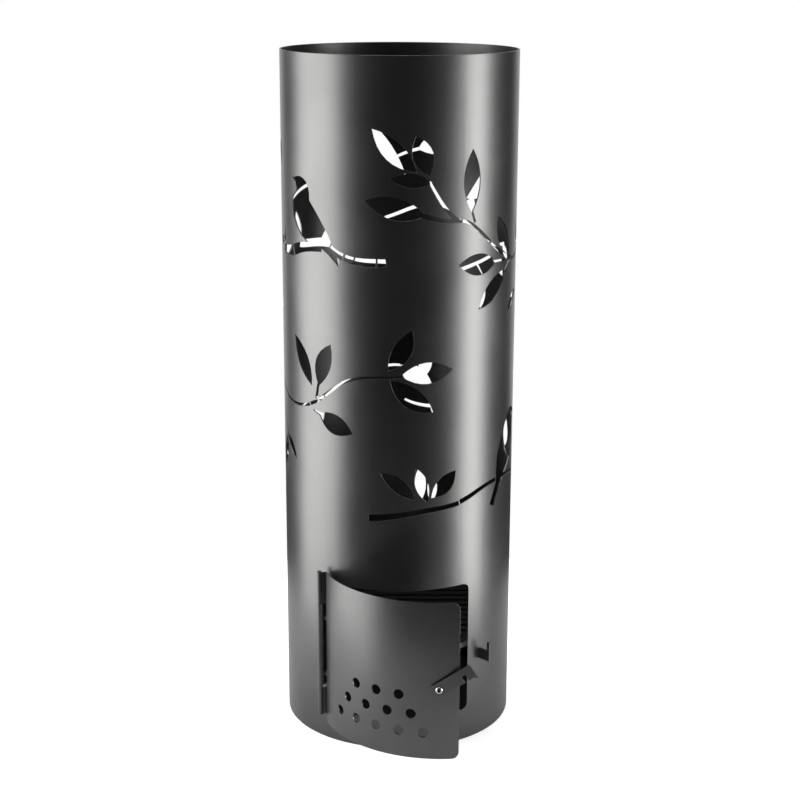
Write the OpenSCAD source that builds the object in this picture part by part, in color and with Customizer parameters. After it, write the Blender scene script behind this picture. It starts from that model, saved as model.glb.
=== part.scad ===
// Garden fire column: a tall rolled-steel chimney with a pierced pattern of birds and
// branches, a loose fire grate and a curved, latched door for fuel and air at its foot.
// Millimetres. +Z is up, the origin is the centre of the foot, and the door faces -Y.
// Angles round the column are counted from -Y towards +X.

/* [Column] */
// Outside diameter of the rolled sheet
column_d = 340; // [330:5:360]
// Height of the column
column_h = 1000; // [960:10:1200]
// Thickness of the rolled sheet and of the door
sheet = 2; // [1.5:0.5:2.5]
// Height of the welded floor above the ground
floor_z = 15; // [10:1:20]

/* [Fire opening] */
// Left edge of the opening, degrees round the column
opening_a0 = -33.5; // [-34:0.5:-30]
// Right edge of the opening, degrees round the column
opening_a1 = 37; // [34:0.5:38]
// Lower edge of the opening
opening_z0 = 48; // [44:1:60]
// Upper edge of the opening
opening_z1 = 247; // [230:1:250]
// Radius of the opening's corners
opening_corner = 9; // [3:1:12]

/* [Door] */
// How far the door stands open at rest, degrees
door_open = 34; // [0:1:115]
// Left edge of the closed door, degrees round the column
door_a0 = -36; // [-36.2:0.1:-35.5]
// Right edge of the closed door, degrees round the column
door_a1 = 42.4; // [40.4:0.5:42.9]
// Lower edge of the door
door_z0 = 31; // [20:1:34]
// Upper edge of the door
door_z1 = 266.5; // [260.5:1:272.5]
// Gap between the column and the closed door
door_gap = 3.5; // [3.3:0.1:4]
// Radius of the door's free corners
door_corner = 10; // [3:1:12]
// Diameter of the air holes
air_hole_d = 15; // [8:1:18]
// Spacing of the air holes along a row
air_pitch = 35.7; // [30.7:0.5:38.7]
// Spacing of the rows of air holes
air_row_pitch = 27.4; // [22.4:0.5:28.4]
// Height of the lowest row of air holes
air_z = 71; // [55:1:75]
// Middle of the rows of air holes, degrees round the closed door
air_a = 2.5; // [-3:0.5:3]

/* [Hinge] */
// Place of the hinge, degrees round the column
hinge_a = -38.5; // [-38.7:0.1:-38.3]
// Distance of the pin from the column's axis beyond the column's radius
hinge_out = 13; // [12.5:0.1:13.5]
// Outside diameter of the knuckles
knuckle_d = 7.5; // [7.5:0.1:8]
// Diameter of the hinge pin
pin_d = 4.5; // [4:0.5:5]
// Lower end of the hinge
hinge_z0 = 42; // [36:1:48]
// Upper end of the hinge
hinge_z1 = 265; // [258:1:268]
// Length of the lower knuckle
knuckle_low = 42; // [30:1:50]
// Length of the upper knuckle
knuckle_high = 48; // [30:1:54]

/* [Latch] */
// Place of the latch screw, degrees round the closed door
latch_a = 33; // [32.5:0.1:33.2]
// Height of the latch screw
latch_z = 138.5; // [136.5:1:140.5]
// How far the lever is raised at rest, degrees
lever_raise = 33; // [0:1:80]
// Width of the lever
lever_w = 20; // [19:0.5:21]
// Distance from the screw to the lever's notch
lever_notch = 40; // [39:1:42]
// Length of the lever's flat part, beyond the screw
lever_len = 54; // [50:1:58]
// Angle of the bent finger tab
tab_bend = 65; // [30:5:80]

/* [Grate] */
// Height of the grate's top face
grate_z = 149; // [140:1:160]
// Diameter of the grate
grate_d = 316; // [300:2:318]
// Spacing of the grate's slots
slot_pitch = 20; // [18:1:30]
// Width of the grate's slots
slot_w = 9; // [6:1:12]

/* [Hidden] */

paint = "#2b2c2b";
paint_inside = "#1b1b1b";
bare_steel = "#c9c9c6";

round_fn = 240;
small_fn = 48;
eps = 0.01;

shell_r = column_d / 2;
shell_in = shell_r - sheet;
mm_deg = 180 / (PI * shell_r);
cut_depth = 14;
web = 2.5;

door_in = shell_r + door_gap;
door_out = door_in + sheet;

hinge_r = shell_r + hinge_out;
hinge_x = hinge_r * sin(hinge_a);
hinge_y = -hinge_r * cos(hinge_a);
leaf_t = 1.6;
leaf_a0 = hinge_a - 1.66;
leaf_a1 = opening_a0 - 0.6;
end_gap = 0.5;
pin_gap = 0.05;
knuckle_z1 = hinge_z0 + knuckle_low;
knuckle_z2 = hinge_z1 - knuckle_high;
rivet_a = hinge_a + 0.15;
rivet_zs = [103, 191];
rivet_head_d = 7.5;
rivet_head_h = 1.3;

play = 0.3;
spacer_t = 1.5;
lever_t = 2;
screw_d = 6;
screw_head_d = 10.5;
screw_head_h = 3.3;
washer_t = 1.4;
nut_h = 6;
nut_af = 10;
spacer_out = door_out + spacer_t;
lever_in = spacer_out + play;
lever_out = lever_in + lever_t;
head_in = lever_out + play;
washer_out = door_in - 0.2;
nut_out = washer_out - washer_t;
lever_end = 8;
notch_w = 6.2;
notch_h = 10;
tab_len = 11;

catch_t = 2.5;
catch_a = latch_a + atan(lever_notch / ((lever_in + lever_out) / 2));
catch_in = shell_r - 7;
catch_out = shell_r + 19;
catch_post = 4.5;
catch_z0 = latch_z - 17;
catch_step = latch_z - 0.8;
catch_z1 = latch_z + 12.5;

grate_t = 3;
grate_rim = 8;
bracket_as = [-122, -58, 58, 122];

// How far the column stands behind the middle of the whole, measured with the door ajar
turned = latch_a - door_open;
carried_y = hinge_y + hinge_x * sin(door_open) - hinge_y * cos(door_open);
tip_out = lever_in + tab_len * sin(tab_bend) + lever_t * cos(tab_bend);
tip_along = lever_len + tab_len * cos(tab_bend) - lever_t * sin(tab_bend);
tip_side = tip_along * cos(lever_raise) + lever_w / 2 * sin(lever_raise);
front_y = carried_y - tip_out * cos(turned) + tip_side * sin(turned);
axis_y = -(front_y + shell_r) / 2;

// ---- shared helpers ----

// Moves a piece drawn round the column's axis to its place in the whole
module placed() {
    translate([0, axis_y, 0])
        children();
}

// Part of a ring between two angles round the column
module ring_sector(r0, r1, a0, a1, z0, z1) {
    rotate([0, 0, a0 - 90])
        rotate_extrude(angle = a1 - a0, $fn = round_fn)
            translate([r0, z0])
                square([r1 - r0, z1 - z0]);
}

// Places children, drawn flat, on the plane that touches radius r at angle a, and gives
// them the thickness t outwards
module radial_plate(a, r, z, t) {
    rotate([0, 0, a])
        translate([0, -r, z])
            rotate([90, 0, 0])
                linear_extrude(t)
                    children();
}

// Quarter circle of points at a rounded corner; a0 is where it starts
function corner_arc(c, r, a0) = [for (i = [0:5]) c + r * [cos(a0 + 18 * i), sin(a0 + 18 * i)]];

// Waste outside a rounded corner of a curved sheet; sx and sz point to the corner
module corner_waste(a, r, z, sx, sz, radius, depth) {
    arc = [for (i = [0:6]) radius * [cos(18 * i - 9) - 1, sin(18 * i - 9) - 1]];
    radial_plate(a, r, z, depth)
        scale([sx, sz])
            polygon(concat([[1, 1], [1, -radius - 2]], arc, [[-radius - 2, 1]]));
}

// ---- pierced pattern, laid out on the flat sheet: [mm round the column, height] ----

function normal_of(d) = [-d.y, d.x] / norm(d);

function bezier(p, t) =
    pow(1 - t, 3) * p[0] + 3 * pow(1 - t, 2) * t * p[1] + 3 * (1 - t) * t * t * p[2] + pow(t, 3) * p[3];

function bezier_dir(p, t) =
    pow(1 - t, 2) * (p[1] - p[0]) + 2 * (1 - t) * t * (p[2] - p[1]) + t * t * (p[3] - p[2]);

function curve(p, n) = [for (i = [0:n - 1]) bezier(p, i / n)];

function twig_side(p, w0, w1, n, s) = [
    for (i = [0:n])
        bezier(p, i / n) + s * normal_of(bezier_dir(p, i / n)) * (w0 + (w1 - w0) * i / n) / 2
];

function reversed(a) = [for (i = [len(a) - 1:-1:0]) a[i]];

function leaf_side(base, tip, w, bow, n, s) = [
    for (i = [0:n])
        let (t = i / n)
        base + (tip - base) * t + normal_of(tip - base) * 4 * t * (1 - t) * (bow + s * w / 2)
];

// Cuts children through the rolled sheet, square to it at the place at
module through(at) {
    radial_plate(at.x * mm_deg, shell_r - cut_depth + 2, at.y, cut_depth)
        children();
}

// A pointed leaf; bow moves its middle to the left of the line from base to tip
module leaf(base, tip, w, bow = 0) {
    at = (base + tip) / 2;
    side_1 = leaf_side(base, tip, w, bow, 8, 1);
    side_2 = leaf_side(base, tip, w, bow, 8, -1);
    outline = concat(side_1, [for (i = [7:-1:1]) side_2[i]]);
    through(at)
        polygon([for (p = outline) p - at]);
}

// A stretch of branch along a curve from a to d, from width w0 to width w1
module twig(a, b, c, d, w0, w1) {
    at = (a + d) / 2;
    p = [a, b, c, d];
    outline = concat(twig_side(p, w0, w1, 6, 1), reversed(twig_side(p, w0, w1, 6, -1)));
    through(at)
        polygon([for (q = outline) q - at]);
}

// A straight short stalk
module stalk(a, d, w0, w1) {
    twig(a, a + (d - a) / 3, a + (d - a) * 2 / 3, d, w0, w1);
}

// A perched songbird that looks to the left and whose tail points down to the right
module bird_leaning(at) {
    crown = curve([[-33, 39], [-24, 37], [-19, 44], [-9, 42]], 4);
    nape = curve([[-9, 42], [4, 41], [13, 29], [11, 11]], 5);
    back = curve([[11, 11], [22, 0], [36, -18], [46, -34]], 4);
    tail = curve([[46, -34], [52, -48], [60, -60], [74, -74]], 4);
    rump = curve([[66, -80], [52, -66], [44, -54], [20, -50]], 4);
    belly = curve([[20, -50], [-10, -50], [-34, -18], [-33, 9]], 6);
    throat = curve([[-33, 9], [-31, 15], [-19, 18], [-20, 26]], 4);
    chin = curve([[-20, 26], [-21, 33], [-26, 36], [-33, 39]], 3);
    through(at)
        polygon(concat(crown, nape, back, tail, [[74, -74]], rump, belly, throat, chin));
}

// An upright songbird that looks to the right, with its tail straight down behind the branch
module bird_upright(at) {
    crown = curve([[46, 37], [34, 40], [28, 50], [18, 48]], 4);
    nape = curve([[18, 48], [2, 46], [-6, 30], [-19, 9]], 5);
    back = curve([[-19, 9], [-30, -6], [-34, -22], [-32, -51]], 5);
    tail = curve([[-32, -51], [-34, -60], [-42, -71], [-47, -84]], 4);
    rump = curve([[-37, -89], [-29, -72], [-20, -58], [-2, -44]], 4);
    belly = curve([[-2, -44], [20, -34], [34, -16], [33, 6]], 5);
    throat = curve([[33, 6], [31, 16], [32, 24], [36, 30]], 4);
    through(at)
        polygon(concat(crown, nape, back, tail, [[-47, -84]], rump, belly, throat, [[36, 30]]));
}

// Bird on a blunt branch, high on the left of the door
module perch_high() {
    bird_leaning([-150, 790]);
    stalk([-214, 752], [-216, 736], 1.5, 8);
    twig([-231, 740], [-226, 720], [-205, 722], [-181, 726], 7, 16);
    twig([-178, 727], [-160, 734], [-145, 737], [-116, 738], 16, 12);
    twig([-130, 744], [-104, 748], [-98, 732], [-80, 728.5], 10, 10);
    twig([-80 + web, 728], [-66, 723], [-50, 722.5], [-32, 722.5], 9.5, 12);
    twig([-32 + web, 722.5], [-26, 722.5], [-22, 723], [-18, 723.5], 12, 10);
}

// Nine-leaved spray, high on the right of the door
module spray_high() {
    leaf([24, 846], [-37, 904], 28, 2);
    leaf([42, 841], [23, 895], 29);
    leaf([45, 832], [-13, 838], 20);
    leaf([36, 787], [-48, 808], 31);
    leaf([106, 787], [107, 875], 29);
    leaf([197, 718], [160, 778], 29, 2);
    leaf([157, 714], [85, 717], 31, 1);
    leaf([185, 700], [121, 651], 27, -1);
    leaf([232, 664], [194, 636], 15);
    twig([43, 831], [54, 812], [62, 797], [79, 781], 4, 6);
    stalk([77, 782], [89, 777.5], 6, 5);
    twig([32, 788], [50, 780], [70, 778], [89, 778.5], 8, 5);
    twig([89 + web, 778], [108, 775], [118, 763], [143, 744], 4.5, 5);
    stalk([105.8, 791], [112, 774], 3, 4);
    twig([143 + web, 742], [165, 727], [180, 719], [202, 713], 5, 7);
    twig([200, 713], [214, 708], [230, 711], [244, 722], 6, 3);
    stalk([152, 714.5], [198, 713], 4, 3.5);
    stalk([182, 698], [199, 712], 3, 4);
}

// Six-leaved branch at mid height above the door
module branch_mid() {
    leaf([-137.5, 537.5], [-179.5, 605.5], 25, -2);
    leaf([-123.5, 540], [-101, 603], 28, 3);
    leaf([-123, 500.5], [-66, 477.5], 29, -1);
    leaf([-14.5, 572], [18.5, 630], 27, -3);
    leaf([3, 565], [77.5, 571], 31);
    leaf([-12, 559], [49, 511], 30, -2);
    twig([-262, 531], [-250, 526], [-238, 522], [-224, 515], 3, 3);
    twig([-225, 515.5], [-200, 500], [-170, 501], [-143, 509.5], 3, 4.5);
    twig([-143 + web, 511], [-118, 520], [-104, 536], [-82, 550], 5, 5);
    twig([-83, 549.5], [-62, 561], [-40, 563], [-13, 562], 5, 3);
    stalk([-124, 543], [-128, 521], 4, 5);
    stalk([-134, 503], [-119, 499], 2.5, 6);
    stalk([-14, 562], [8, 565.6], 2.5, 5);
}

// Three leaves over a heavy branch and a bird that looks away, low on the right
module perch_low() {
    leaf([23, 383.5], [-26, 425], 21, -2);
    leaf([42, 379], [25, 431], 19);
    leaf([47, 385], [84, 422.5], 24, -1.5);
    bird_upright([200, 441]);
    twig([-42, 356], [-20, 358], [0, 361], [25, 365], 10.5, 9);
    twig([23, 364.7], [45, 368], [70, 369], [90, 372.5], 9, 7);
    twig([90 + web, 374], [115, 380], [135, 392], [166, 392], 7.5, 6);
    twig([176, 391], [196, 393], [220, 391], [246, 384], 6, 4);
}

// Small twig with two leaves, low on the left
module sprig_left() {
    leaf([-213, 448.5], [-179.5, 420], 15);
    leaf([-214.5, 446], [-233, 394], 21, -2);
    twig([-229, 486], [-226, 470], [-219, 458], [-213, 447], 2, 3.5);
}

// Leaves on the right-hand side of the column
module side_right() {
    leaf([244, 721], [252, 782], 26);
    leaf([246, 720], [302, 742], 27);
    leaf([262, 655], [318, 640], 24, 2);
    twig([246 + web, 659], [252, 662], [258, 660], [264, 655], 3, 4);
    leaf([300, 560], [262, 600], 26);
    leaf([306, 556], [322, 612], 25);
    twig([302, 561], [304, 545], [300, 525], [286, 508], 4, 5);
    leaf([287, 510], [246, 536], 24);
    leaf([288, 504], [330, 486], 26, 2);
    twig([246 + web, 383], [270, 378], [290, 384], [316, 400], 4, 5);
    leaf([290, 386], [268, 432], 24);
    leaf([316, 398], [306, 448], 25, 2);
}

// Leaves on the left-hand side of the column
module side_left() {
    leaf([-262, 531], [-296, 582], 27);
    leaf([-262, 531], [-318, 526], 26, 2);
    leaf([-292, 700], [-262, 750], 25);
    leaf([-296, 696], [-330, 742], 27, 2);
    twig([-293, 702], [-300, 680], [-298, 664], [-284, 644], 4, 5);
    leaf([-284, 646], [-240, 628], 26, 2);
    leaf([-285, 643], [-318, 606], 25);
    leaf([-268, 826], [-306, 868], 26);
    leaf([-262, 824], [-236, 876], 27);
    leaf([-268, 410], [-296, 452], 24);
    leaf([-264, 408], [-262, 344], 25, 3);
    twig([-330, 372], [-312, 378], [-290, 392], [-266, 410], 8, 5);
}

// Leafy branch across the back, high up
module spray_back() {
    leaf([525, 800], [580, 882], 36, -11);
    leaf([505, 839], [438, 861], 34);
    twig([549, 822], [530, 832], [520, 836], [503, 840], 4, 5);
    twig([556, 733], [530, 741], [520, 748], [500, 753], 5, 6);
    twig([500 - web, 753], [480, 757], [464, 756], [448, 748], 6, 6);
    leaf([462, 752], [486, 797], 20, 2);
    twig([446, 746], [432, 738], [420, 727], [398, 716], 7, 8);
    leaf([424, 768], [384, 822], 26, 12);
    leaf([424, 744], [408, 770], 20);
    twig([398 - web, 714], [380, 705], [360, 700], [330, 712], 7, 5);
    leaf([338, 709], [318, 690], 17);
    leaf([365, 703], [334, 660], 25);
    twig([434, 655], [415, 665], [390, 674], [364, 690], 6, 5);
    stalk([400, 669], [386, 652], 6, 3);
    leaf([387, 652], [392, 600], 25, 3);
}

// Thick branch across the back, high up
module branch_high_back() {
    leaf([-398, 704], [-478, 744], 30);
    twig([-325, 776], [-345, 786], [-360, 792], [-380, 794], 6, 6);
    twig([-350, 708], [-372, 703], [-398, 706], [-420, 699], 12, 14);
    twig([-420 - web, 697], [-432, 690], [-442, 680], [-462, 674], 14, 12);
    twig([-462 - web, 673], [-480, 667], [-500, 667], [-514, 665], 12, 10);
    leaf([-352, 707], [-338, 760], 17);
}

// Leafy branch across the back at mid height
module branch_back() {
    twig([-350, 452], [-374, 462], [-390, 458], [-404, 456], 5, 6);
    leaf([-392, 456], [-396, 410], 24, 2);
    twig([-404 - web, 457], [-424, 464], [-440, 480], [-472, 488], 6, 8);
    twig([-472 - web, 489], [-500, 494], [-520, 499], [-536, 497], 6, 4);
    leaf([-536, 497], [-588, 468], 32, 3);
    leaf([-575, 478], [-578, 532], 24);
    twig([480, 432], [500, 431], [515, 436], [524, 441], 6, 4);
    leaf([483, 432], [440, 404], 27);
    leaf([483, 432], [424, 452], 26);
    twig([350, 400], [366, 384], [384, 379], [404, 371], 5, 6);
    leaf([400, 372.4], [440, 330], 27);
    leaf([400, 372.4], [455, 378], 22);
    leaf([498, 268], [498, 332], 19);
    leaf([480, 268], [476, 320], 17);
}

module pierced_pattern() {
    perch_high();
    spray_high();
    branch_mid();
    perch_low();
    sprig_left();
    side_right();
    side_left();
    spray_back();
    branch_high_back();
    branch_back();
}

// ---- column ----

module fire_opening() {
    c = opening_corner;
    x0 = shell_r * sin(opening_a0) + c;
    x1 = shell_r * sin(opening_a1) - c;
    z0 = opening_z0 + c;
    z1 = opening_z1 - c;
    translate([0, -shell_r / 2, 0])
        rotate([90, 0, 0])
            linear_extrude(shell_r)
                polygon(concat(
                    corner_arc([x0, z0], c, 180), corner_arc([x1, z0], c, 270),
                    corner_arc([x1, z1], c, 0), corner_arc([x0, z1], c, 90)
                ));
}

module catch_slot() {
    radial_plate(catch_a, shell_in - 2, 0, 6)
        translate([-catch_t / 2 - 0.2, catch_z0 - 0.2])
            square([catch_t + 0.4, catch_step - catch_z0 + 0.4]);
}

module shell() {
    placed() color(paint)
        difference() {
            cylinder(h = column_h, r = shell_r, $fn = round_fn);
            translate([0, 0, -1])
                cylinder(h = column_h + 2, r = shell_in, $fn = round_fn);
            fire_opening();
            catch_slot();
            pierced_pattern();
        }
}

// Floor pan, welded in with its rim turned down
module base_plate() {
    pan_r = shell_in - 0.2;
    placed() color(paint_inside)
        rotate_extrude($fn = round_fn)
            polygon([
                [0, floor_z - sheet], [pan_r - sheet, floor_z - sheet], [pan_r - sheet, 2],
                [pan_r, 2], [pan_r, floor_z], [0, floor_z]
            ]);
}

// Angle brackets welded inside the sheet, which the grate's rim rests on
module grate_brackets() {
    top = grate_z - grate_rim - play;
    placed() color(paint_inside)
        for (a = bracket_as)
            rotate([0, 0, a])
                translate([-10, -shell_in + 0.5, top])
                    rotate([90, 0, 90])
                        linear_extrude(20)
                            polygon([[0, 0], [18, 0], [18, -2], [2, -2], [2, -20], [0, -20]]);
}

// Loose fire grate: a slotted disc with its rim turned down
module grate() {
    grate_r = grate_d / 2;
    placed() color(paint_inside)
        difference() {
            rotate_extrude($fn = round_fn)
                polygon([
                    [0, grate_z - grate_t], [grate_r - grate_t, grate_z - grate_t],
                    [grate_r - grate_t, grate_z - grate_rim], [grate_r, grate_z - grate_rim],
                    [grate_r, grate_z], [0, grate_z]
                ]);
            for (y = [-6 * slot_pitch:slot_pitch:6 * slot_pitch])
                grate_slot(y, 2 * (sqrt(pow(grate_r, 2) - y * y) - 24));
        }
}

module grate_slot(y, length) {
    translate([-length / 2, y - slot_w / 2, grate_z - grate_t - 1])
        cube([length, slot_w, grate_t + 2]);
}

// Hook plate that stands out of the column and catches the lever
module catch_hook() {
    placed() color(paint)
        rotate([0, 0, catch_a - 90])
            translate([0, catch_t / 2, 0])
                rotate([90, 0, 0])
                    linear_extrude(catch_t)
                        polygon([
                            [catch_in, catch_z0], [catch_out, catch_z0],
                            [catch_out, catch_z1 - 2], [catch_out - 2, catch_z1],
                            [catch_out - catch_post, catch_z1], [catch_out - catch_post, catch_step],
                            [catch_in, catch_step]
                        ]);
}

// ---- hinge ----

module knuckle_bore(z0, z1) {
    translate([hinge_x, hinge_y, z0 - 1])
        cylinder(h = z1 - z0 + 2, r = pin_d / 2 + pin_gap, $fn = small_fn);
}

module knuckle_tube(z0, z1) {
    translate([hinge_x, hinge_y, z0])
        cylinder(h = z1 - z0, d = knuckle_d, $fn = small_fn);
}

// Leaf riveted to the column, with the long middle knuckle
module hinge_fixed_leaf() {
    z0 = knuckle_z1 + end_gap;
    z1 = knuckle_z2 - end_gap;
    placed() color(paint)
        difference() {
            union() {
                knuckle_tube(z0, z1);
                ring_sector(shell_r + 0.05, shell_r + leaf_t, leaf_a0, leaf_a1, z0, z1);
                ring_sector(shell_r + 0.5, hinge_r + 0.8, leaf_a0, leaf_a0 + 0.6, z0, z1);
            }
            knuckle_bore(z0, z1);
            for (z = rivet_zs)
                rivet_hole(z);
        }
}

module rivet_hole(z) {
    rotate([0, 0, rivet_a])
        translate([0, -shell_r + 1, z])
            rotate([90, 0, 0])
                cylinder(h = 6, d = 5, $fn = small_fn);
}

// Domed rivets through the fixed leaf
module hinge_rivets() {
    placed() color(bare_steel)
        for (z = rivet_zs)
            rotate([0, 0, rivet_a])
                translate([0, -shell_r - 0.1, z])
                    rotate([90, 0, 0])
                        rotate_extrude($fn = small_fn)
                            polygon([
                                [0, 0], [2.4, 0], [2.4, leaf_t], [rivet_head_d / 2, leaf_t],
                                [rivet_head_d / 2 - 1, leaf_t + rivet_head_h * 0.75],
                                [rivet_head_d / 2 - 2.6, leaf_t + rivet_head_h],
                                [0, leaf_t + rivet_head_h]
                            ]);
}

// Pin, held by the middle knuckle, with a flat head above the upper one
module hinge_pin() {
    placed() color(paint)
        translate([hinge_x, hinge_y, 0]) {
            translate([0, 0, hinge_z0 - 1])
                cylinder(h = hinge_z1 - hinge_z0 + 2, d = pin_d, $fn = small_fn);
            translate([0, 0, hinge_z1 + end_gap])
                cylinder(h = 1.6, d = knuckle_d - 1.5, $fn = small_fn);
        }
}

// ---- door, drawn closed and swung about the pin ----

module swung() {
    translate([hinge_x, hinge_y, 0])
        rotate([0, 0, -door_open])
            translate([-hinge_x, -hinge_y, 0])
                children();
}

module air_hole(a, z) {
    rotate([0, 0, a])
        translate([0, -door_in + 4, z])
            rotate([90, 0, 0])
                cylinder(h = sheet + 8, d = air_hole_d, $fn = small_fn);
}

// Three rows of air holes: five, four and three, staggered by half a pitch
module air_holes() {
    step = air_pitch / (PI * door_out) * 180;
    for (row = [0:2])
        for (i = [0:4 - row])
            air_hole(air_a + (i - (4 - row) / 2) * step, air_z + row * air_row_pitch);
}

module door_panel() {
    placed() color(paint)
        swung()
            difference() {
                ring_sector(door_in, door_out, door_a0, door_a1, door_z0, door_z1);
                for (sz = [-1, 1]) {
                    z = sz > 0 ? door_z1 : door_z0;
                    corner_waste(door_a1, door_in - 3, z, 1, sz, door_corner, 8);
                    corner_waste(door_a0, door_in - 3, z, -1, sz, 3, 8);
                }
                air_holes();
                latch_hole();
            }
}

module latch_hole() {
    rotate([0, 0, latch_a])
        translate([0, -door_in + 4, latch_z])
            rotate([90, 0, 0])
                cylinder(h = sheet + 8, d = screw_d + 0.4, $fn = small_fn);
}

// End knuckle, rolled from a leaf that is welded behind the door's edge
module door_knuckle(z0, z1) {
    placed() color(paint)
        swung()
            difference() {
                union() {
                    knuckle_tube(z0, z1);
                    ring_sector(door_in - 1.5, door_in, hinge_a - 0.3, opening_a0 + 1, z0, z1);
                    ring_sector(
                        door_in - 1, hinge_r - knuckle_d / 2 + 0.6,
                        hinge_a - 0.3, hinge_a + 0.3, z0, z1
                    );
                }
                knuckle_bore(z0, z1);
            }
}

module door_upper_knuckle() {
    door_knuckle(knuckle_z2, hinge_z1);
}

module door_lower_knuckle() {
    door_knuckle(hinge_z0, knuckle_z1);
}

// ---- latch, drawn on the closed door with the lever level ----

// Frame of the latch screw: +Z points out of the door, +X along the level lever
module latch_frame() {
    swung()
        rotate([0, 0, latch_a])
            translate([0, 0, latch_z])
                rotate([90, 0, 0])
                    children();
}

module latch_spacer() {
    placed() color(bare_steel)
        latch_frame()
            translate([0, 0, door_out])
                difference() {
                    cylinder(h = spacer_t, d = 14, $fn = small_fn);
                    translate([0, 0, -1])
                        cylinder(h = spacer_t + 2, d = screw_d + 0.3, $fn = small_fn);
                }
}

// Flat lever with a notch in its lower edge and a bent finger tab at its end
module latch_lever() {
    half = lever_w / 2;
    placed() color(paint)
        latch_frame()
            rotate([0, 0, lever_raise])
                translate([0, 0, lever_in])
                    difference() {
                        union() {
                            linear_extrude(lever_t)
                                lever_outline(half);
                            translate([lever_len, 0, 0])
                                rotate([90, 0, 0])
                                    translate([0, 0, -half])
                                        linear_extrude(lever_w)
                                            tab_section();
                        }
                        translate([0, 0, -1])
                            cylinder(h = lever_t + 2, r = screw_d / 2 + 0.06, $fn = small_fn);
                        translate([lever_len + 3, half, -1])
                            rotate([0, 0, -24])
                                cube([30, 12, 20]);
                    }
}

module lever_outline(half) {
    difference() {
        union() {
            translate([-lever_end + 3, -half])
                square([lever_len + lever_end - 3, lever_w]);
            for (s = [-1, 1])
                translate([-lever_end + 3, s * (half - 3)])
                    circle(3, $fn = small_fn);
            translate([-lever_end, -half + 3])
                square([4, lever_w - 6]);
        }
        translate([lever_notch - notch_w / 2, -half - 1])
            square([notch_w, notch_h + 1]);
    }
}

module tab_section() {
    c = cos(tab_bend);
    s = sin(tab_bend);
    polygon([
        [-eps, 0], [0, 0], [tab_len * c, tab_len * s],
        [tab_len * c - lever_t * s, tab_len * s + lever_t * c],
        [-lever_t * tan(tab_bend / 2), lever_t], [-eps - 2, lever_t], [-eps - 2, 0]
    ]);
}

// Button-head screw with a hexagon socket
module latch_screw() {
    placed() color(bare_steel)
        latch_frame()
            difference() {
                union() {
                    translate([0, 0, nut_out - nut_h - 0.5])
                        cylinder(h = head_in - nut_out + nut_h + 0.5 + eps, d = screw_d, $fn = small_fn);
                    translate([0, 0, head_in])
                        rotate_extrude($fn = small_fn)
                            polygon([
                                [0, 0], [screw_head_d / 2, 0], [screw_head_d / 2, 0.6],
                                [screw_head_d / 2 - 0.5, 1.6], [screw_head_d / 2 - 1.5, 2.6],
                                [2.6, screw_head_h], [0, screw_head_h]
                            ]);
                }
                translate([0, 0, head_in + screw_head_h - 2])
                    cylinder(h = 3, d = 4.6, $fn = 6);
            }
}

module latch_washer() {
    placed() color(bare_steel)
        latch_frame()
            translate([0, 0, nut_out])
                difference() {
                    cylinder(h = washer_t, d = 12, $fn = small_fn);
                    translate([0, 0, -1])
                        cylinder(h = washer_t + 2, d = screw_d + 0.4, $fn = small_fn);
                }
}

module latch_nut() {
    placed() color(bare_steel)
        latch_frame()
            translate([0, 0, nut_out - nut_h])
                difference() {
                    cylinder(h = nut_h, d = nut_af / cos(30), $fn = 6);
                    translate([0, 0, -1])
                        cylinder(h = nut_h + 2, r = screw_d / 2 + 0.02, $fn = small_fn);
                }
}

shell();
base_plate();
grate_brackets();
grate();
catch_hook();
hinge_fixed_leaf();
hinge_rivets();
hinge_pin();
door_panel();
door_upper_knuckle();
door_lower_knuckle();
latch_spacer();
latch_lever();
latch_screw();
latch_washer();
latch_nut();
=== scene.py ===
import math

import bpy
from mathutils import Matrix, Vector


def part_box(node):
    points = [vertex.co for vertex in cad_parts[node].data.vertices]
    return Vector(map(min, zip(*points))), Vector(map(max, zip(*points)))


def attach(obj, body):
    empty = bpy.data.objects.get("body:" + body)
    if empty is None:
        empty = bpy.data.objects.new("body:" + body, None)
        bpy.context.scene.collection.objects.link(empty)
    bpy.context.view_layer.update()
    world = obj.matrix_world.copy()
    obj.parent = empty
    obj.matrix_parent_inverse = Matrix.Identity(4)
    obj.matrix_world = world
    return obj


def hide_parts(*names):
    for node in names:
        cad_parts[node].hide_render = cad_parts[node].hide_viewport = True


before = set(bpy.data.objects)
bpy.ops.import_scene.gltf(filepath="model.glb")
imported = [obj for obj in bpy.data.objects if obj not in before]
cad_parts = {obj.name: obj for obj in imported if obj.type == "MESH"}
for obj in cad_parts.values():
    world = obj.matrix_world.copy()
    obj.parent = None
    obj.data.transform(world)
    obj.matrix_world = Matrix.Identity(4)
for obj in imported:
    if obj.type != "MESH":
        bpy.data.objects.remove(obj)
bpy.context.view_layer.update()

# ---- Column ----
# A sheet of 2 mm steel, laser-cut with the birds and branches, rolled to a tube and seam-welded,
# then coated inside and out in satin anthracite heat-proof powder.

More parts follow.
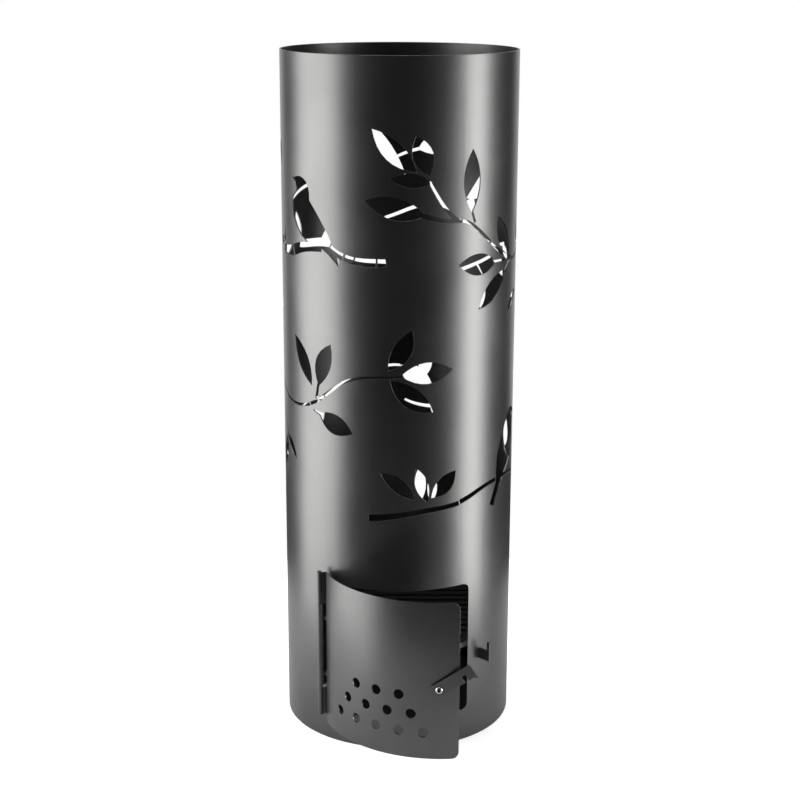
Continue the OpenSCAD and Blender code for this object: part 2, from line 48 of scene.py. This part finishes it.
def coat_grain():
    """The fine orange-peel of the powder, faint mottling, softened edges and a mask of their wear."""
    group = bpy.data.node_groups.new("coat_grain", "ShaderNodeTree")
    face = group.interface
    face.new_socket("Colour", in_out="INPUT", socket_type="NodeSocketColor")
    face.new_socket("Worn Colour", in_out="INPUT", socket_type="NodeSocketColor")
    face.new_socket("Gloss Loss", in_out="INPUT", socket_type="NodeSocketFloat")
    face.new_socket("Peel", in_out="INPUT", socket_type="NodeSocketFloat")
    face.new_socket("Wear", in_out="INPUT", socket_type="NodeSocketFloat")
    face.new_socket("Colour", in_out="OUTPUT", socket_type="NodeSocketColor")
    face.new_socket("Roughness", in_out="OUTPUT", socket_type="NodeSocketFloat")
    face.new_socket("Normal", in_out="OUTPUT", socket_type="NodeSocketVector")
    n, link = group.nodes, group.links.new
    given, made = n.new("NodeGroupInput"), n.new("NodeGroupOutput")
    where = n.new("ShaderNodeTexCoord")

    peel = n.new("ShaderNodeTexNoise")
    peel.inputs["Scale"].default_value = 1400
    peel.inputs["Detail"].default_value = 2
    link(where.outputs["Object"], peel.inputs["Vector"])
    cloud = n.new("ShaderNodeTexNoise")
    cloud.inputs["Scale"].default_value = 9
    cloud.inputs["Detail"].default_value = 5
    link(where.outputs["Object"], cloud.inputs["Vector"])

    edge = n.new("ShaderNodeBevel")
    edge.samples = 4
    edge.inputs["Radius"].default_value = 0.0007
    bump = n.new("ShaderNodeBump")
    bump.inputs["Distance"].default_value = 0.0002
    link(given.outputs["Peel"], bump.inputs["Strength"])
    link(peel.outputs["Fac"], bump.inputs["Height"])
    link(edge.outputs["Normal"], bump.inputs["Normal"])

    shape = n.new("ShaderNodeNewGeometry")
    turn = n.new("ShaderNodeVectorMath")
    turn.operation = "DOT_PRODUCT"
    link(shape.outputs["Normal"], turn.inputs[0])
    link(edge.outputs["Normal"], turn.inputs[1])
    rim = n.new("ShaderNodeMapRange")
    rim.inputs["From Min"].default_value = 0.985
    rim.inputs["From Max"].default_value = 0.8
    link(turn.outputs["Value"], rim.inputs["Value"])
    patch = n.new("ShaderNodeMath")
    patch.operation = "MULTIPLY"
    link(rim.outputs["Result"], patch.inputs[0])
    link(cloud.outputs["Fac"], patch.inputs[1])
    worn = n.new("ShaderNodeMath")
    worn.operation = "MULTIPLY"
    worn.use_clamp = True
    link(patch.outputs["Value"], worn.inputs[0])
    link(given.outputs["Wear"], worn.inputs[1])

    shade = n.new("ShaderNodeMapRange")
    shade.inputs["From Min"].default_value = 0.3
    shade.inputs["From Max"].default_value = 0.7
    shade.inputs["To Min"].default_value = 0.9
    shade.inputs["To Max"].default_value = 1.1
    link(cloud.outputs["Fac"], shade.inputs["Value"])
    tint = n.new("ShaderNodeVectorMath")
    tint.operation = "SCALE"
    link(given.outputs["Colour"], tint.inputs[0])
    link(shade.outputs["Result"], tint.inputs["Scale"])
    mix = n.new("ShaderNodeMix")
    mix.data_type = "RGBA"
    link(worn.outputs["Value"], mix.inputs["Factor"])
    link(tint.outputs["Vector"], mix.inputs[6])
    link(given.outputs["Worn Colour"], mix.inputs[7])

    dull = n.new("ShaderNodeMapRange")
    dull.inputs["From Min"].default_value = 0.3
    dull.inputs["From Max"].default_value = 0.7
    dull.inputs["To Min"].default_value = -0.02
    dull.inputs["To Max"].default_value = 0.02
    link(cloud.outputs["Fac"], dull.inputs["Value"])
    rough = n.new("ShaderNodeMath")
    rough.operation = "ADD"
    link(given.outputs["Gloss Loss"], rough.inputs[0])
    link(dull.outputs["Result"], rough.inputs[1])

    link(mix.outputs[2], made.inputs["Colour"])
    link(rough.outputs["Value"], made.inputs["Roughness"])
    link(bump.outputs["Normal"], made.inputs["Normal"])
    return group


def coating(name, colour, roughness, metal, peel=0.25, wear=0.5, worn=(0.22, 0.22, 0.21, 1)):
    mat = bpy.data.materials.new(name)
    mat.use_nodes = True
    n, link = mat.node_tree.nodes, mat.node_tree.links.new
    skin = n["Principled BSDF"]
    grain = n.new("ShaderNodeGroup")
    grain.node_tree = bpy.data.node_groups.get("coat_grain") or coat_grain()
    grain.inputs["Colour"].default_value = (*colour, 1)
    grain.inputs["Worn Colour"].default_value = worn
    grain.inputs["Gloss Loss"].default_value = roughness
    grain.inputs["Peel"].default_value = peel
    grain.inputs["Wear"].default_value = wear
    link(grain.outputs["Colour"], skin.inputs["Base Color"])
    link(grain.outputs["Roughness"], skin.inputs["Roughness"])
    link(grain.outputs["Normal"], skin.inputs["Normal"])
    skin.inputs["Metallic"].default_value = metal
    return mat


def finish_node(name, mat):
    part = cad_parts[name]
    part.data.materials.clear()
    part.data.materials.append(mat)


anthracite = coating("satin_anthracite", (0.12, 0.122, 0.119), 0.36, 0.9)
finish_node("shell", anthracite)

shell_low, shell_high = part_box("shell")
axis_y = (shell_low[1] + shell_high[1]) / 2
tube_r = (shell_high[0] - shell_low[0]) / 2
sheet = 0.002

# ---- Floor pan and grate brackets ----
# A pressed disc with a turned-down rim is stitch-welded into the foot, and four short angles are
# welded inside the tube for the grate. Both carry the same coating, matter and dusty with ash.

matt_black = coating("matt_inside_coat", (0.05, 0.05, 0.049), 0.6, 0.5, peel=0.5)
finish_node("base_plate", matt_black)
finish_node("grate_brackets", matt_black)


def round_column(angle, radius, z):
    """A point given by its angle from the front, its distance from the column's axis and its height."""
    turn = math.radians(angle)
    return Vector((radius * math.sin(turn), axis_y - radius * math.cos(turn), z))


def weld_bead(name, points, size, body, mat):
    """A run of overlapping balls, one at each point."""
    bpy.ops.object.select_all(action="DESELECT")
    bpy.ops.mesh.primitive_uv_sphere_add(segments=12, ring_count=8, radius=size, location=points[0])
    bead = bpy.context.object
    bead.name = name
    bpy.ops.object.transform_apply(location=True, rotation=True, scale=True)
    bpy.ops.object.mode_set(mode="EDIT")
    for point in points[1:]:
        bpy.ops.mesh.primitive_uv_sphere_add(segments=12, ring_count=8, radius=size, location=point)
    bpy.ops.object.mode_set(mode="OBJECT")
    bpy.ops.object.shade_smooth()
    bead.data.materials.append(mat)
    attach(bead, body)
    return bead


pan_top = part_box("base_plate")[1][2]
stitches = 6
ripples = 24
ripple_turn = 0.42
for stitch in range(stitches):
    start = 20 + stitch * 360 / stitches
    run = [round_column(start + ripple_turn * k, tube_r - sheet - 0.0006, pan_top) for k in range(ripples)]
    weld_bead(f"pan_weld_{stitch + 1}", run, 0.0013, "column", matt_black)

# ---- Fire grate ----
# A loose 3 mm disc with sawn slots and a turned-down rim, lifted out through the mouth. Its face is
# matt and sooty; the rim's outer face carries a painted highlight, pale where light falls on it.

sooty = coating("matt_grate", (0.02, 0.02, 0.019), 0.65, 0.4, peel=0.5, wear=0.6)
n, link = sooty.node_tree.nodes, sooty.node_tree.links.new
skin = n["Principled BSDF"]
where, middle = n.new("ShaderNodeTexCoord"), n.new("ShaderNodeVectorMath")
middle.operation = "SUBTRACT"
middle.inputs[1].default_value = (0, axis_y, 0)
link(where.outputs["Object"], middle.inputs[0])
flat = n.new("ShaderNodeVectorMath")
flat.operation = "MULTIPLY"
flat.inputs[1].default_value = (1, 1, 0)
link(middle.outputs["Vector"], flat.inputs[0])
reach = n.new("ShaderNodeVectorMath")
reach.operation = "LENGTH"
link(flat.outputs["Vector"], reach.inputs[0])
# Painted highlight: a narrow band at the rim's outer face is painted pale, standing in for the light that
# falls on it.
rim_highlight_mask = n.new("ShaderNodeMapRange")
rim_highlight_mask.inputs["From Min"].default_value = 0.1572
rim_highlight_mask.inputs["From Max"].default_value = 0.1578
link(reach.outputs["Value"], rim_highlight_mask.inputs["Value"])
rim_highlight_mix = n.new("ShaderNodeMix")
rim_highlight_mix.data_type = "RGBA"
link(rim_highlight_mask.outputs["Result"], rim_highlight_mix.inputs["Factor"])
link(skin.inputs["Base Color"].links[0].from_socket, rim_highlight_mix.inputs[6])
rim_highlight_mix.inputs[7].default_value = (0.75, 0.75, 0.73, 1)
link(rim_highlight_mix.outputs[2], skin.inputs["Base Color"])
finish_node("grate", sooty)

# ---- Catch ----
# A laser-cut plate pushed through a slot in the tube and welded behind it on both faces.

fittings = coating("satin_fittings", (0.11, 0.112, 0.11), 0.4, 0.8, wear=0.8)
finish_node("catch_hook", fittings)

catch_low, catch_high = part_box("catch_hook")
catch_mid = (catch_low + catch_high) / 2
catch_turn = math.degrees(math.atan2(catch_mid[0], axis_y - catch_mid[1]))
beside_plate = 0.72
ripple = 0.001
for side, turn in (("left", catch_turn - beside_plate), ("right", catch_turn + beside_plate)):
    foot = catch_low[2] + ripple
    run = [round_column(turn, tube_r - sheet - 0.0004, foot + ripple * k) for k in range(14)]
    weld_bead(f"catch_weld_{side}", run, 0.0012, "column", matt_black)

# ---- Hinge ----
# Rolled sheet knuckles on a steel pin: the long middle one is riveted to the tube and the two end
# ones are welded behind the door's edge. All are coated; the domed rivets stay bright.

for name in ("hinge_fixed_leaf", "hinge_pin", "door_upper_knuckle", "door_lower_knuckle"):
    finish_node(name, fittings)

bright = coating("bright_zinc", (0.62, 0.62, 0.6), 0.28, 1.0,
                 peel=0.15, wear=0.3, worn=(0.8, 0.8, 0.78, 1))


def dome(name, radius, height, place, outward):
    """Half of a flattened ball, standing on its flat side at a place and facing outward."""
    bpy.ops.object.select_all(action="DESELECT")
    bpy.ops.mesh.primitive_uv_sphere_add(segments=48, ring_count=32, radius=1)
    cap = bpy.context.object
    cap.name = name
    bpy.ops.object.mode_set(mode="EDIT")
    bpy.ops.mesh.select_all(action="SELECT")
    bpy.ops.mesh.bisect(plane_co=(0, 0, 0.001), plane_no=(0, 0, 1), use_fill=True, clear_inner=True)
    bpy.ops.object.mode_set(mode="OBJECT")
    cap.scale = (radius, radius, height)
    cap.rotation_euler = Vector(outward).to_track_quat("Z", "Y").to_euler()
    cap.location = place
    bpy.ops.object.transform_apply(location=True, rotation=True, scale=True)
    bpy.ops.object.shade_smooth_by_angle(angle=math.radians(50))
    return cap


rivet_low, rivet_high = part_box("hinge_rivets")
rivet_turn = -38.35
rivet_face = tube_r + 0.00155
rivet_r = 0.00375
rivet_out = round_column(rivet_turn, 1, 0) - round_column(rivet_turn, 0, 0)
heads = []
for z in (rivet_low[2] + rivet_r, rivet_high[2] - rivet_r):
    heads.append(dome("rivet_head", rivet_r, 0.0014, round_column(rivet_turn, rivet_face, z), rivet_out))
bpy.ops.object.select_all(action="DESELECT")
for head in heads:
    head.select_set(True)
bpy.context.view_layer.objects.active = heads[0]
bpy.ops.object.join()
rivets = heads[0]
rivets.name = "hinge_rivet_heads"
rivets.data.materials.append(bright)
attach(rivets, "column")
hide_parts("hinge_rivets")

# ---- Door ----
# The same sheet rolled a little wider than the tube, with rounded free corners and punched air
# holes. The strips of the two end knuckles are welded to its inner face.

finish_node("door_panel", anthracite)

door_open = 34
pin_low, pin_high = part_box("hinge_pin")
pin_at = (pin_low + pin_high) / 2


def on_door(angle, radius, z):
    """A point given as on the closed door, carried round the pin to where the door stands ajar."""
    off = round_column(angle, radius, z) - pin_at
    carried = Matrix.Rotation(math.radians(-door_open), 3, "Z") @ off + pin_at
    carried[2] = z
    return carried


strip_end, strip_face, ripple = -32.45, 0.1728, 0.0011
for place, z0, z1 in (("upper", 0.221, 0.261), ("lower", 0.046, 0.080)):
    run = [on_door(strip_end, strip_face, z0 + ripple * k) for k in range(int((z1 - z0) / ripple))]
    weld_bead(f"{place}_knuckle_weld", run, ripple, "door", fittings)

# ---- Latch ----
# A flat lever with a notch and a bent finger tab turns on a button-head screw with a hexagon
# socket. A spacer keeps the lever off the door, and a washer and nut hold the screw behind it.

finish_node("latch_lever", fittings)
for name in ("latch_spacer", "latch_washer", "latch_nut"):
    finish_node(name, bright)

screw_turn, screw_z = 33, 0.1385
screw_out = on_door(screw_turn, 1, screw_z) - on_door(screw_turn, 0, screw_z)
head_foot = on_door(screw_turn, 0.1796, screw_z)
screw_turned = screw_out.to_track_quat("Z", "Y").to_euler()
socket_r = 0.0023
screw = dome("latch_screw_head", 0.00525, 0.0033, head_foot, screw_out)
bpy.ops.object.select_all(action="DESELECT")
bpy.ops.mesh.primitive_cylinder_add(vertices=6, radius=socket_r, depth=0.004,
                                    location=head_foot + screw_out * 0.003, rotation=screw_turned)
socket = bpy.context.object
bpy.ops.mesh.primitive_cylinder_add(vertices=32, radius=0.003, depth=0.0195,
                                    location=head_foot - screw_out * 0.0091, rotation=screw_turned)
shank = bpy.context.object
for cutter, how in ((shank, "UNION"), (socket, "DIFFERENCE")):
    step = screw.modifiers.new("shape", "BOOLEAN")
    step.operation = how
    step.solver = "EXACT"
    step.object = cutter
    bpy.ops.object.select_all(action="DESELECT")
    screw.select_set(True)
    bpy.context.view_layer.objects.active = screw
    bpy.ops.object.modifier_apply(modifier=step.name)
    bpy.data.objects.remove(cutter)
bpy.ops.object.shade_smooth_by_angle(angle=math.radians(40))
screw.data.materials.clear()
screw.data.materials.append(bright)
screw.data.materials.append(matt_black)
# Painted shade: the faces inside the hexagon socket take the dark matt coat, standing in for the shade in
# the recess.
for face in screw.data.polygons:
    up = (face.center - head_foot).dot(screw_out)
    off_axis = (face.center - head_foot - screw_out * up).length
    painted_socket_shade = off_axis < socket_r + 0.00001 and 0.0005 < up < 0.0031
    face.material_index = 1 if painted_socket_shade else 0
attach(screw, "door")
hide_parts("latch_screw")

# ---- Studio ----
# A pale floor, a tall soft light at each side, weak ones overhead and behind, and a white backdrop.

bpy.ops.object.select_all(action="DESELECT")
bpy.ops.mesh.primitive_circle_add(vertices=96, radius=0.65, fill_type="NGON", location=(0, axis_y, 0))
floor = bpy.context.object
floor.name = "studio_floor"
bpy.ops.object.transform_apply(location=True, rotation=True, scale=True)
paper = bpy.data.materials.new("pale_paper")
paper.use_nodes = True
n, link = paper.node_tree.nodes, paper.node_tree.links.new
paper_skin = n["Principled BSDF"]
paper_skin.inputs["Roughness"].default_value = 0.95
seen, tone, glow = n.new("ShaderNodeLightPath"), n.new("ShaderNodeMix"), n.new("ShaderNodeMath")
tone.data_type = "RGBA"
tone.inputs[6].default_value = (0.9, 0.9, 0.9, 1)
tone.inputs[7].default_value = (0.95, 0.95, 0.95, 1)
link(seen.outputs["Is Camera Ray"], tone.inputs["Factor"])
link(tone.outputs[2], paper_skin.inputs["Base Color"])
glow.operation = "MULTIPLY"
glow.inputs[1].default_value = 0.55
link(seen.outputs["Is Camera Ray"], glow.inputs[0])
paper_skin.inputs["Emission Color"].default_value = (1, 1, 1, 1)
link(glow.outputs["Value"], paper_skin.inputs["Emission Strength"])
floor.data.materials.append(paper)


def softbox(name, place, aim, wide, high, power):
    lamp = bpy.data.lights.new(name, "AREA")
    lamp.shape = "RECTANGLE"
    lamp.size, lamp.size_y, lamp.energy = wide, high, power
    thing = bpy.data.objects.new(name, lamp)
    bpy.context.scene.collection.objects.link(thing)
    thing.location = (place[0], place[1] + axis_y, place[2])
    thing.rotation_euler = (Vector(aim) - Vector(place)).to_track_quat("-Z", "Y").to_euler()
    thing.visible_camera = False


softbox("left_box", (-1.6, -0.25, 0.56), (0, -0.25, 0.56), 1.55, 1.95, 51)
softbox("right_box", (1.7, -0.47, 0.3), (0, -0.12, 0.3), 0.75, 1.9, 38)
softbox("top_box", (0, 0.2, 2.9), (0, 0.1, 0), 1.6, 1.4, 34)
softbox("back_box", (0, 2.3, 0.9), (0, 0, 0.9), 3.4, 2.4, 30)

world = bpy.data.worlds.new("studio")
bpy.context.scene.world = world
world.use_nodes = True
n, link = world.node_tree.nodes, world.node_tree.links.new
dim, white = n["Background"], n.new("ShaderNodeBackground")
ray, pick = n.new("ShaderNodeLightPath"), n.new("ShaderNodeMixShader")
dim.inputs["Color"].default_value = (0.01, 0.01, 0.01, 1)
white.inputs["Color"].default_value = (1, 1, 1, 1)
link(ray.outputs["Is Camera Ray"], pick.inputs["Fac"])
link(dim.outputs["Background"], pick.inputs[1])
link(white.outputs["Background"], pick.inputs[2])
link(pick.outputs["Shader"], n["World Output"].inputs["Surface"])
bpy.context.scene.view_settings.view_transform = "Standard"

camera = bpy.data.objects.new("camera", bpy.data.cameras.new("camera"))
bpy.context.scene.collection.objects.link(camera)
camera.data.lens = 74.25
camera.location = (0, axis_y - 2.38, 1.1321)
look_down, turned, rolled = 15.2123, -0.049, 0.18
aim = Matrix.Rotation(math.radians(turned), 3, "Z") @ Matrix.Rotation(math.radians(90 - look_down), 3, "X")
camera.rotation_euler = (aim @ Matrix.Rotation(math.radians(rolled), 3, "Z")).to_euler()
bpy.context.scene.camera = camera
